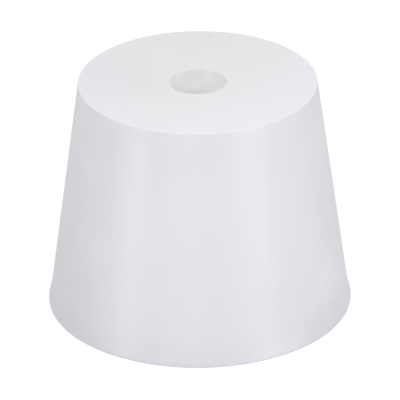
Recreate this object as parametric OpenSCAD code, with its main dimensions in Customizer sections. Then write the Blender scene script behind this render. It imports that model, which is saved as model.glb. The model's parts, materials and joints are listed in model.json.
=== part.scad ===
// Tapered rubber stopper with a straight hole for a glass tube
//
// A solid plug, moulded in one piece. It stands on its wide end: the Z axis runs
// up the plug, the wide face lies in the plane z = 0, and the origin is at the
// centre of that face. All sizes are in millimetres.

/* [Plug] */
// Diameter of the wide end, across its land
wide_d = 32; // [28:0.5:40]
// Diameter of the narrow end, where the taper would meet the end face
narrow_d = 24.8; // [18:0.2:26]
// Length between the two end faces
length = 25; // [15:0.5:40]

/* [Hole] */
// Diameter of the straight hole that grips the tube
hole_d = 6; // [3:0.1:12]

/* [Edges] */
// Radius of the round on the rim of the narrow end
narrow_rim_r = 0.03; // [0.01:0.01:1]
// Radius of the round on the rim of the wide end
wide_rim_r = 0.03; // [0.01:0.01:0.2]
// Radius of the round at both mouths of the hole
hole_rim_r = 0.03; // [0.01:0.01:0.8]

/* [Moulding land] */
// Height of the upright land round the wide end
land_h = 0.25; // [0.25:0.05:0.6]
// How far the land stands out from the taper, measured at the wide face
land_out = 0.11; // [0.02:0.01:0.3]
// Height above the wide face at which the taper starts to flare out to the land
flare_h = 2; // [1:0.1:3]

/* [Hidden] */
$fn = 180;

wide_r = wide_d / 2;
narrow_r = narrow_d / 2;
hole_r = hole_d / 2;
// The taper, drawn down to the wide face inside the land
taper_foot_r = wide_r - land_out;
taper_lean = (taper_foot_r - narrow_r) / length;
// Small overlap that makes two curves cross where they would only touch
overlap = 0.001;

// Milky white, faintly blue
rubber_colour = [0.91, 0.91, 0.935];

// Vector v at a length of 1
function unit(v) = v / norm(v);

// Radius of the taper at height z
function taper_r(z) = taper_foot_r - taper_lean * z;

// What a round of radius r takes off a corner of the outline. The corner comes
// with the outline's points before and after it.
module corner_waste(before, corner, after, r) {
    to_before = unit(before - corner);
    to_after = unit(after - corner);
    half_angle = acos(to_before * to_after) / 2;
    inward = unit(to_before + to_after);
    touch = r / tan(half_angle);
    centre = inward * r / sin(half_angle);
    translate(corner)
        difference() {
            polygon([to_before * touch, centre, to_after * touch, -inward * r]);
            translate(centre)
                circle(r);
        }
}

// The hollow flare's circle: it leaves the taper smoothly at the flare's top and
// reaches the plug's full radius at the top of the land.
module flare_circle(top, land_top) {
    outward = unit([1, taper_lean]);
    reach = land_top - top;
    flare_r = reach * reach / (2 * reach * outward);
    translate(top + outward * (flare_r - overlap))
        circle(flare_r);
}

// One side of the lengthways section, from the hole's wall out to the taper
module half_section() {
    wide_in = [hole_r, 0];
    wide_out = [wide_r, 0];
    land_side = [wide_r, flare_h];
    flare_top = [taper_r(flare_h), flare_h];
    narrow_out = [narrow_r, length];
    narrow_in = [hole_r, length];
    difference() {
        polygon([wide_in, wide_out, land_side, flare_top, narrow_out, narrow_in]);
        flare_circle(flare_top, [wide_r, land_h]);
        corner_waste(narrow_in, wide_in, wide_out, hole_rim_r);
        corner_waste(wide_in, wide_out, land_side, wide_rim_r);
        corner_waste(flare_top, narrow_out, narrow_in, narrow_rim_r);
        corner_waste(narrow_out, narrow_in, wide_in, hole_rim_r);
    }
}

module stopper() {
    color(rubber_colour)
        rotate_extrude()
            half_section();
}

stopper();
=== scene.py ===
import json
import math

import bmesh
import bpy
from mathutils import Matrix, Vector


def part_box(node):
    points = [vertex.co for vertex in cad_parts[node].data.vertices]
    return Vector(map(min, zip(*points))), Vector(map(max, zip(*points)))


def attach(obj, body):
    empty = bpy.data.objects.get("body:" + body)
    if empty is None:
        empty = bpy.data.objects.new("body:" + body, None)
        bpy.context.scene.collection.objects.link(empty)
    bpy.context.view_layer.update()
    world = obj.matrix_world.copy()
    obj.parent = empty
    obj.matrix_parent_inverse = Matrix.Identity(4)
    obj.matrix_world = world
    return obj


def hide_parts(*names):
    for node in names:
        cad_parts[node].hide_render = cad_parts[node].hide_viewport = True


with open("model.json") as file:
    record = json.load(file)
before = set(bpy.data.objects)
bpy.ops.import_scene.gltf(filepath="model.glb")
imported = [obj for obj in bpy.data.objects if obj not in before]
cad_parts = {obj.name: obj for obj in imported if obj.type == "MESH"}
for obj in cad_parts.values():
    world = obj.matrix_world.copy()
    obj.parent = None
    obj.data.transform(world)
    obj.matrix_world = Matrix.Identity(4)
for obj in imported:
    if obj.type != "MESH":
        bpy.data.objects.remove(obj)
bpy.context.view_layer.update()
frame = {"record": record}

MM = 0.001

# Sizes of the plug. Its height, its wide end and its hole come from the frame.
NARROW_D = 24.8 * MM
RIM_ROUND = 0.03 * MM
MOUTH_ROUND = 0.03 * MM
LAND_HEIGHT = 0.25 * MM
LAND_OUT = 0.11 * MM
FLARE_HEIGHT = 2.0 * MM

# How finely the plug is divided
TURN_STEPS = 240
ROUND_STEPS = 5
FLARE_STEPS = 6
TAPER_STEPS = 56
FACE_STEPS = 22
BORE_STEPS = 30
EDGE_HOLD = 0.02 * MM
MERGE_WITHIN = 0.0001 * MM

# The finishes, in the order of the plug's material slots
SIDE, ENDS, BORE = range(3)
# A face that points up or down by more than this belongs to an end
END_FACING = 0.7

# The rubber. Light goes a little way into it, and further into the wall of the bore.
SCATTER_SHARE = 0.25
SCATTER_DEPTH = 0.3 * MM
BORE_SCATTER_SHARE = 0.12
BORE_SCATTER_DEPTH = 1.5 * MM
CLOUD_SIZE = 6.0 * MM
GRAIN_SIZE = 0.24 * MM
RING_WIDTH = 0.3 * MM
MOTTLE_SIZE = 2.2 * MM
# A streak's width round the axis in radians, and the radians that a metre up the side counts as
STREAK_TURN = 0.06
STREAK_TURN_PER_METRE = 8.0
GRAIN_SHARE = 0.6
RING_SHARE = 0.4
RELIEF_STRENGTH = 0.08
RELIEF_DEPTH = 0.02 * MM

# How matt each finish is, and how far that strays with the cloud
SIDE_ROUGHNESS = 0.32
END_ROUGHNESS = 0.78
BORE_ROUGHNESS = 0.45
ROUGHNESS_SPREAD = 0.06
# The side's fine rings draw its shine out along the taper
SIDE_GRAIN_RUN = 0.97
SIDE_GRAIN_TURN = 0.25

SIDE_BLUE = (0.798, 0.806, 0.849, 1.0)
SIDE_VIOLET = (0.811, 0.802, 0.854, 1.0)
END_GREY = (0.841, 0.840, 0.859, 1.0)
END_VIOLET = (0.851, 0.840, 0.895, 1.0)
BORE_MOUTH = (0.885, 0.885, 0.900, 1.0)
BORE_FLANK = (0.985, 0.985, 0.990, 1.0)
BORE_DEEP = (0.995, 0.985, 0.990, 1.0)

# The general level of each colour, and how much each thing adds to it or takes from it
SIDE_LEVEL = 0.985
SIDE_CLOUDING = 0.022
SIDE_STREAKING = 0.018
# Painted shade: the side's colour is darkened towards the foot and in the collar under the narrow
# end
FOOT_PAINTED_SHADE = 0.045
COLLAR_PAINTED_SHADE = 0.02
END_LEVEL = 0.988
END_CLOUDING = 0.024
DARK_PATCH_LEFT_DULLING = 0.055
SPECK_DULLING = 0.06

# Soft spots: a centre, a radius and the width of a soft edge, all in millimetres
VIOLET_HIGH = ((-5.5, -11.0, 24.0), 4.5, 6.0)
VIOLET_LOW = ((-8.2, -11.1, 14.0), 2.8, 4.5)
# A spot on the right of the foot where the painted shade at the foot is left out
FOOT_UNSHADED_SPOT = ((8.5, -13.5, 0.5), 1.0, 4.0)
GREY_BEHIND = ((0.0, 6.5, 25.0), 8.0, 4.5)
GREY_BEFORE = ((-2.3, -2.8, 25.0), 3.8, 5.0)
DARK_PATCH_LEFT = ((-8.0, -0.5, 25.0), 2.2, 4.5)
SPECK = ((1.25, 11.17, 25.0), 0.15, 0.35)

# Soft patches of painted light and painted shade on the side, each with how much it lifts or dulls
# the colour: painted light at the silhouettes, a painted highlight low on the right, and painted
# shade at the foot, low on the left and under the rim
SIDE_PAINTED_LIGHT_AND_SHADE = {
    "shade_foot_right": (-0.04, ((14.0, -7.5, 0.0), 3.0, 3.0)),
    "shade_low_left": (-0.028, ((-12.5, -8.0, 4.5), 1.5, 4.5)),
    "shade_under_rim": (-0.022, ((-1.5, -12.6, 24.5), 2.5, 4.5)),
    "light_upper_left": (0.06, ((-13.5, -1.5, 23.0), 2.0, 9.0)),
    "light_middle_left": (0.04, ((-14.2, 1.5, 11.5), 2.5, 5.0)),
    "light_upper_right": (0.06, ((13.4, 1.0, 20.0), 3.0, 5.5)),
    "highlight_low_right": (0.045, ((13.7, -7.2, 5.0), 0.8, 3.2)),
}

# Where painted shade and painted light start and end: up the side, down the bore and across it
FOOT_SHADE_SPAN = (3.6 * MM, 0.0)
COLLAR_SHADE_SPAN = (14.0 * MM, 25.0 * MM)
BORE_DEPTH_SPAN = (24.4 * MM, 22.5 * MM)
BORE_LEFT_SPAN = (-1.0 * MM, -3.0 * MM)
BORE_RIGHT_SPAN = (0.0, 1.5 * MM)

# The floor: its form, its paint, and how far it is lifted towards white
FLOOR_RADIUS = 2.0
FLOOR_CORNERS = 96
FLOOR_DROP = 0.02 * MM
FLOOR_PALE = 0.88
FLOOR_WHITE = 1.16
FLOOR_SEEN = 0.75
FLOOR_SHONE = 0.1
FLOOR_BENEATH = 0.3
OPEN_FLOOR_SPAN = (4.0 * MM, 12.0 * MM)

AIR_LEVEL = 0.3

# Lamps: azimuth and elevation in degrees, distance, width and height in metres, power in watts
LAMP_AIM = 12.5 * MM
LAMPS = {
    "front_key": (-15, 37, 0.2, 0.1, 0.1, 0.143),
    "right_key": (60, 42, 0.13, 0.07, 0.07, 0.0408),
    "left_key": (-60, 42, 0.13, 0.07, 0.07, 0.0091),
    "right_wide": (70, 28, 0.6, 0.34, 0.4, 0.058),
    "left_wide": (-70, 28, 0.6, 0.34, 0.4, 0.162),
    "right_side": (105, 25, 0.6, 0.3, 0.3, 0.408),
    "behind": (180, 55, 0.6, 0.4, 0.3, 0.687),
    "left_back": (-145, 15, 0.6, 0.3, 0.3, 0.3),
}
# Strips that give the side its upright bands of shine and light nothing
SHINE_STRIPS = {
    "right_strip": (46.5, 3.5, 0.4, 0.17, 0.045, 0.267),
    "right_inner": (27, 3.5, 0.4, 0.085, 0.045, 0.051),
    "left_strip": (-54, 3.5, 0.4, 0.127, 0.045, 0.187),
    "left_fringe": (-54, 3.5, 0.4, 0.3, 0.045, 0.105),
}


def place_camera():
    """A long lens that looks down on the plug from the front, rolled by half a degree."""
    elevation = math.radians(27.12)
    roll = math.radians(-0.561)
    distance = 431.64 * MM
    aim = Vector((0.113, 0.0, 11.201)) * MM
    back = Vector((0.0, -math.cos(elevation), math.sin(elevation)))
    level_right = Vector((1.0, 0.0, 0.0))
    level_up = back.cross(level_right)
    right = math.cos(roll) * level_right + math.sin(roll) * level_up
    up = back.cross(right)
    camera = bpy.data.objects.new("camera", bpy.data.cameras.new("camera"))
    camera.data.sensor_width = 36.0
    camera.data.lens = 370.0
    camera.data.clip_start = 0.05
    camera.data.clip_end = 20.0
    camera.matrix_world = Matrix.Translation(aim + back * distance) @ Matrix(
        (right, up, back)
    ).transposed().to_4x4()
    bpy.context.collection.objects.link(camera)
    bpy.context.scene.camera = camera


class Signal:
    """A shader socket that takes part in arithmetic, each step a Math node."""

    def __init__(self, board, socket):
        self.board = board
        self.socket = socket

    def __add__(self, other):
        return self.board.maths("ADD", self, other)

    __radd__ = __add__

    def __sub__(self, other):
        return self.board.maths("SUBTRACT", self, other)

    def __rsub__(self, other):
        return self.board.maths("SUBTRACT", other, self)

    def __mul__(self, other):
        return self.board.maths("MULTIPLY", self, other)

    __rmul__ = __mul__


class Board:
    """The nodes of one material or of the world."""

    def __init__(self, owner):
        owner.use_nodes = True
        self.tree = owner.node_tree
        self.tree.nodes.clear()

    def node(self, kind, settings=None, sockets=None, out=0):
        """Adds a node: its settings first, then the values or links of its sockets."""
        made = self.tree.nodes.new(kind)
        for name, value in (settings or {}).items():
            setattr(made, name, value)
        for name, value in (sockets or {}).items():
            if isinstance(value, Signal):
                self.tree.links.new(value.socket, made.inputs[name])
            else:
                made.inputs[name].default_value = value
        if not made.outputs:
            return None
        return Signal(self, made.outputs[out])

    def maths(self, operation, first, second):
        return self.node("ShaderNodeMath", {"operation": operation}, {0: first, 1: second})

    def vector(self, operation, first, second=(0.0, 0.0, 0.0), out=0):
        return self.node(
            "ShaderNodeVectorMath", {"operation": operation}, {0: first, 1: second}, out
        )

    def ease(self, value, start, end):
        """Goes smoothly from 0 to 1 as the value goes from the start to the end."""
        return self.node(
            "ShaderNodeMapRange",
            {"interpolation_type": "SMOOTHSTEP"},
            {0: value, 1: start, 2: end, 3: 0.0, 4: 1.0},
        )

    def blend(self, factor, first, second):
        """A colour that goes from the first to the second."""
        return self.node(
            "ShaderNodeMix",
            {"data_type": "RGBA"},
            {"Factor": factor, 6: first, 7: second},
            out=2,
        )

    def lit(self, colour, level):
        """A colour made darker or paler without a change of hue."""
        return self.node(
            "ShaderNodeVectorMath", {"operation": "SCALE"}, {0: colour, "Scale": level}
        )


class HalfSection:
    """The outline of one side of the plug, drawn in the plane y = 0 by one moving vertex."""

    def __init__(self, radius, height):
        self.mesh = bmesh.new()
        self.tip = self.mesh.verts.new((radius, 0.0, height))

    def stride_by(self, stride):
        made = bmesh.ops.extrude_vert_indiv(self.mesh, verts=[self.tip])
        self.tip = made["verts"][0]
        bmesh.ops.translate(self.mesh, verts=[self.tip], vec=stride)

    def line_to(self, radius, height, steps):
        """A straight run. A short step at each end keeps the rounds beside it crisp."""
        run = Vector((radius, 0.0, height)) - self.tip.co
        hold = run.normalized() * EDGE_HOLD
        self.stride_by(hold)
        for _ in range(steps):
            self.stride_by((run - 2 * hold) / steps)
        self.stride_by(hold)

    def round_to(self, centre_radius, centre_height, degrees, steps):
        """An arc about a centre. Positive degrees turn it from outward to upward."""
        made = bmesh.ops.spin(
            self.mesh,
            geom=[self.tip],
            cent=(centre_radius, 0.0, centre_height),
            axis=(0.0, -1.0, 0.0),
            angle=math.radians(degrees),
            steps=steps,
        )
        self.tip = [part for part in made["geom_last"] if isinstance(part, bmesh.types.BMVert)][0]

    def merge(self):
        bmesh.ops.remove_doubles(self.mesh, verts=self.mesh.verts, dist=MERGE_WITHIN)

    def turned(self, steps):
        """The whole body of revolution, closed and facing outwards."""
        self.merge()
        bmesh.ops.spin(
            self.mesh,
            geom=self.mesh.verts[:] + self.mesh.edges[:],
            cent=(0.0, 0.0, 0.0),
            axis=(0.0, 0.0, 1.0),
            angle=math.tau,
            steps=steps,
            use_merge=True,
        )
        self.merge()
        bmesh.ops.recalc_face_normals(self.mesh, faces=self.mesh.faces)
        return self.mesh


def rim_centre_radius(narrow_r, lean_angle):
    """Radius of the centre of the round between the narrow face and the taper."""
    return narrow_r - RIM_ROUND * (1.0 / math.cos(lean_angle) - math.tan(lean_angle))


def draw_plug(wide_r, length, hole_r):
    """The plug's half-section, from the foot of the hole up, out and down again, turned."""
    narrow_r = NARROW_D / 2
    foot_r = wide_r - LAND_OUT
    lean = (foot_r - narrow_r) / length
    lean_angle = math.atan(lean)
    face_r = rim_centre_radius(narrow_r, lean_angle)
    flare_top = Vector((foot_r - lean * FLARE_HEIGHT, FLARE_HEIGHT))
    land_top = Vector((wide_r, LAND_HEIGHT))
    away = Vector((math.cos(lean_angle), math.sin(lean_angle)))
    chord = land_top - flare_top
    flare_r = chord.length_squared / (2 * chord.dot(away))
    flare_centre = flare_top + away * flare_r
    foot = land_top - flare_centre
    flare_turn = math.degrees(math.atan2(-foot.y, -foot.x)) - math.degrees(lean_angle)

    outline = HalfSection(hole_r, MOUTH_ROUND)
    outline.line_to(hole_r, length - MOUTH_ROUND, BORE_STEPS)
    outline.round_to(hole_r + MOUTH_ROUND, length - MOUTH_ROUND, -90, ROUND_STEPS)
    outline.line_to(face_r, length, FACE_STEPS)
    outline.round_to(face_r, length - RIM_ROUND, math.degrees(lean_angle) - 90, ROUND_STEPS)
    outline.line_to(flare_top.x, flare_top.y, TAPER_STEPS)
    outline.round_to(flare_centre.x, flare_centre.y, flare_turn, FLARE_STEPS)
    outline.line_to(wide_r, RIM_ROUND, 1)
    outline.round_to(wide_r - RIM_ROUND, RIM_ROUND, -90, ROUND_STEPS)
    outline.line_to(hole_r + MOUTH_ROUND, 0.0, FACE_STEPS)
    outline.round_to(hole_r + MOUTH_ROUND, MOUTH_ROUND, -90, ROUND_STEPS)
    return outline.turned(TURN_STEPS)


def share_finishes(body, hole_r):
    """Turned side, flat ends and bore each get their own finish."""
    for face in body.faces:
        centre = face.calc_center_median()
        if abs(face.normal.z) > END_FACING:
            face.material_index = ENDS
        elif math.hypot(centre.x, centre.y) < hole_r + MOUTH_ROUND:
            face.material_index = BORE
        else:
            face.material_index = SIDE


def make_plug():
    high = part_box("stopper")[1]
    hole = [mount for mount in frame["record"]["mounts"] if mount["name"] == "tube_hole"][0]
    hole_r = hole["dims"]["r_mm"] * MM
    body = draw_plug(high.x, high.z, hole_r)
    share_finishes(body, hole_r)
    mesh = bpy.data.meshes.new("rubber_plug")
    body.to_mesh(mesh)
    body.free()
    mesh.shade_smooth()
    for finish in (side_rubber(), end_rubber(), bore_rubber()):
        mesh.materials.append(finish)
    plug = bpy.data.objects.new("rubber_plug", mesh)
    bpy.context.collection.objects.link(plug)
    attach(plug, "root")
    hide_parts("stopper")


def noise(board, place, size, detail=2.0):
    """Soft random blotches of about the given size, from 0 to 1."""
    return board.node(
        "ShaderNodeTexNoise",
        sockets={"Vector": place, "Scale": 1.0 / size, "Detail": detail, "Roughness": 0.5},
    )


def soft_spot(board, place, cloud, centre, radius, edge):
    """1 within a radius of a point and 0 past a soft edge, which strays with the cloud."""
    away = board.vector("DISTANCE", place, Vector(centre) * MM, out=1)
    return board.ease(away + edge * MM * (cloud - 0.5), (radius + edge) * MM, radius * MM)


def along_axis(board, place, axis):
    """How far along the X, Y or Z axis, numbered 0, 1 and 2, a place lies."""
    return board.node("ShaderNodeSeparateXYZ", sockets={0: place}, out=axis)


def silicone(name, tint, tooling, roughness, **along):
    """Milky silicone rubber, pale, satin and a little cloudy.

    The tint makes its colour and the tooling the fine marks that its mould gave it.
    """
    material = bpy.data.materials.new(name)
    board = Board(material)
    place = board.node("ShaderNodeTexCoord", out=3)
    cloud = noise(board, place, CLOUD_SIZE, 3.0)
    grain = noise(board, place, GRAIN_SIZE)
    relief = GRAIN_SHARE * grain + RING_SHARE * tooling(board, place)
    bump = board.node(
        "ShaderNodeBump",
        sockets={"Strength": RELIEF_STRENGTH, "Distance": RELIEF_DEPTH, "Height": relief},
    )
    sockets = {
        "Base Color": tint(board, place, cloud),
        "Roughness": roughness - ROUGHNESS_SPREAD / 2 + ROUGHNESS_SPREAD * cloud,
        "Subsurface Weight": SCATTER_SHARE,
        "Subsurface Radius": (1.0, 1.0, 1.0),
        "Subsurface Scale": SCATTER_DEPTH,
        "Normal": bump,
    }
    sockets.update(along)
    surface = board.node("ShaderNodeBsdfPrincipled", sockets=sockets)
    board.node("ShaderNodeOutputMaterial", sockets={"Surface": surface})
    return material


def level_rings(board, place):
    """Fine rings round the side, one above the other."""
    height = board.vector("MULTIPLY", place, (0.0, 0.0, 1.0))
    return noise(board, height, RING_WIDTH)


def flat_rings(board, place):
    """Fine rings round the axis, one inside the other."""
    radius = board.vector("LENGTH", board.vector("MULTIPLY", place, (1.0, 1.0, 0.0)), out=1)
    return noise(board, board.node("ShaderNodeCombineXYZ", sockets={"X": radius}), RING_WIDTH)


def taper_streaks(board, place):
    """Faint streaks that run up the side, many times longer than they are wide."""
    around = board.vector("NORMALIZE", board.vector("MULTIPLY", place, (1.0, 1.0, 0.0)))
    along = board.vector("MULTIPLY", place, (0.0, 0.0, STREAK_TURN_PER_METRE))
    return noise(board, board.vector("ADD", around, along), STREAK_TURN)


def side_tint(board, place, cloud):
    """Bluish, with a violet cast on one shoulder and faint streaks along the taper.

    The foot and the collar under the narrow end are darkened with painted shade, and a few soft
    patches carry painted light, which makes them paler, and painted shade, which makes them duller.
    """
    high = soft_spot(board, place, cloud, *VIOLET_HIGH)
    low = soft_spot(board, place, cloud, *VIOLET_LOW)
    colour = board.blend(high + low, SIDE_BLUE, SIDE_VIOLET)
    height = along_axis(board, place, 2)
    # Painted shade: darker towards the foot, except in one spot on the right, and darker under the
    # narrow end
    unshaded = soft_spot(board, place, cloud, *FOOT_UNSHADED_SPOT)
    foot = board.ease(height, *FOOT_SHADE_SPAN) * (1.0 - unshaded)
    collar_shade = board.ease(height, *COLLAR_SHADE_SPAN)
    level = SIDE_LEVEL + SIDE_CLOUDING * cloud + SIDE_STREAKING * taper_streaks(board, place)
    level = level - FOOT_PAINTED_SHADE * foot - COLLAR_PAINTED_SHADE * collar_shade
    # Painted light and painted shade in soft patches
    for change, spot in SIDE_PAINTED_LIGHT_AND_SHADE.values():
        level = level + change * soft_spot(board, place, cloud, *spot)
    return board.lit(colour, level)


def end_tint(board, place, cloud):
    """Grey about the hole, more violet outwards, with a faint darker patch left of the hole and one
    dark speck.
    """
    behind = soft_spot(board, place, cloud, *GREY_BEHIND)
    before = soft_spot(board, place, cloud, *GREY_BEFORE)
    # A faint darker patch on the narrow end, left of the hole
    dark_patch = soft_spot(board, place, cloud, *DARK_PATCH_LEFT) * noise(board, place, MOTTLE_SIZE)
    speck = soft_spot(board, place, cloud, *SPECK)
    colour = board.blend(behind + before, END_VIOLET, END_GREY)
    level = END_LEVEL + END_CLOUDING * cloud - DARK_PATCH_LEFT_DULLING * dark_patch - SPECK_DULLING * speck
    return board.lit(colour, level)


def bore_tint(board, place, cloud):
    """Paler down inside and on the flanks, to stand in for light that the rubber lets through."""
    height = along_axis(board, place, 2)
    across = along_axis(board, place, 0)
    flanks = board.ease(across, *BORE_LEFT_SPAN) + board.ease(across, *BORE_RIGHT_SPAN)
    mouth = board.blend(flanks, BORE_MOUTH, BORE_FLANK)
    return board.blend(board.ease(height, *BORE_DEPTH_SPAN), mouth, BORE_DEEP)


def side_rubber():
    run = {"Anisotropic": SIDE_GRAIN_RUN, "Anisotropic Rotation": SIDE_GRAIN_TURN}
    return silicone("side_rubber", side_tint, level_rings, SIDE_ROUGHNESS, **run)


def end_rubber():
    return silicone("end_rubber", end_tint, flat_rings, END_ROUGHNESS)


def bore_rubber():
    clear = {"Subsurface Weight": BORE_SCATTER_SHARE, "Subsurface Scale": BORE_SCATTER_DEPTH}
    return silicone("bore_rubber", bore_tint, level_rings, BORE_ROUGHNESS, **clear)


def shown_white(board, seen, shone):
    """How far a ray meets plain white: seen by the camera or through clear stuff, or in a shine."""
    path = board.node("ShaderNodeLightPath")
    outputs = path.socket.node.outputs
    direct = board.maths(
        "MAXIMUM",
        Signal(board, outputs["Is Camera Ray"]),
        Signal(board, outputs["Is Transmission Ray"]),
    )
    return seen * direct + shone * Signal(board, outputs["Is Glossy Ray"])


def light_world():
    """Even air light. What looks straight at it sees white."""
    world = bpy.data.worlds.new("studio_air")
    bpy.context.scene.world = world
    board = Board(world)
    missing = 1.0 - AIR_LEVEL
    air = board.node(
        "ShaderNodeBackground",
        sockets={
            "Color": (1.0, 1.0, 1.0, 1.0),
            "Strength": AIR_LEVEL + shown_white(board, missing, missing),
        },
    )
    board.node("ShaderNodeOutputWorld", sockets={"Surface": air})


def floor_paint():
    """Pale paint, lifted towards white for the eye but still carrying the shadow.

    Under the plug, where its hole shows the floor, it is lifted less.
    """
    material = bpy.data.materials.new("studio_floor")
    board = Board(material)
    paint = board.node(
        "ShaderNodeBsdfDiffuse", sockets={"Color": (FLOOR_PALE, FLOOR_PALE, FLOOR_PALE, 1.0)}
    )
    white = board.node(
        "ShaderNodeEmission", sockets={"Color": (1.0, 1.0, 1.0, 1.0), "Strength": FLOOR_WHITE}
    )
    place = board.node("ShaderNodeTexCoord", out=3)
    open_floor = board.ease(board.vector("LENGTH", place, out=1), *OPEN_FLOOR_SPAN)
    evenness = FLOOR_BENEATH + (1.0 - FLOOR_BENEATH) * open_floor
    lift = evenness * shown_white(board, FLOOR_SEEN, FLOOR_SHONE)
    lit = board.node("ShaderNodeMixShader", sockets={0: lift, 1: paint, 2: white})
    board.node("ShaderNodeOutputMaterial", sockets={"Surface": lit})
    return material


def lay_floor():
    disc = bmesh.new()
    bmesh.ops.create_circle(disc, cap_ends=True, segments=FLOOR_CORNERS, radius=FLOOR_RADIUS)
    bmesh.ops.translate(disc, verts=disc.verts, vec=(0.0, 0.0, -FLOOR_DROP))
    mesh = bpy.data.meshes.new("studio_floor")
    disc.to_mesh(mesh)
    disc.free()
    mesh.materials.append(floor_paint())
    floor = bpy.data.objects.new("studio_floor", mesh)
    bpy.context.collection.objects.link(floor)


def soft_box(name, azimuth, elevation, distance, width, height, power, shine_only=False):
    """A soft lamp that faces the plug. Azimuth 0 is in front and 90 to the right."""
    turn = math.radians(azimuth)
    rise = math.radians(elevation)
    away = Vector(
        (math.sin(turn) * math.cos(rise), -math.cos(turn) * math.cos(rise), math.sin(rise))
    )
    lamp = bpy.data.lights.new(name, "AREA")
    lamp.shape = "RECTANGLE"
    lamp.size = width
    lamp.size_y = height
    lamp.energy = power
    holder = bpy.data.objects.new(name, lamp)
    holder.location = Vector((0.0, 0.0, LAMP_AIM)) + away * distance
    holder.rotation_mode = "QUATERNION"
    holder.rotation_quaternion = away.to_track_quat("Z", "Y")
    holder.visible_camera = False
    holder.visible_diffuse = not shine_only
    bpy.context.collection.objects.link(holder)


place_camera()
make_plug()
lay_floor()
light_world()
for lamp_name, lamp_form in LAMPS.items():
    soft_box(lamp_name, *lamp_form)
for lamp_name, lamp_form in SHINE_STRIPS.items():
    soft_box(lamp_name, *lamp_form, shine_only=True)
bpy.context.scene.view_settings.view_transform = "Standard"
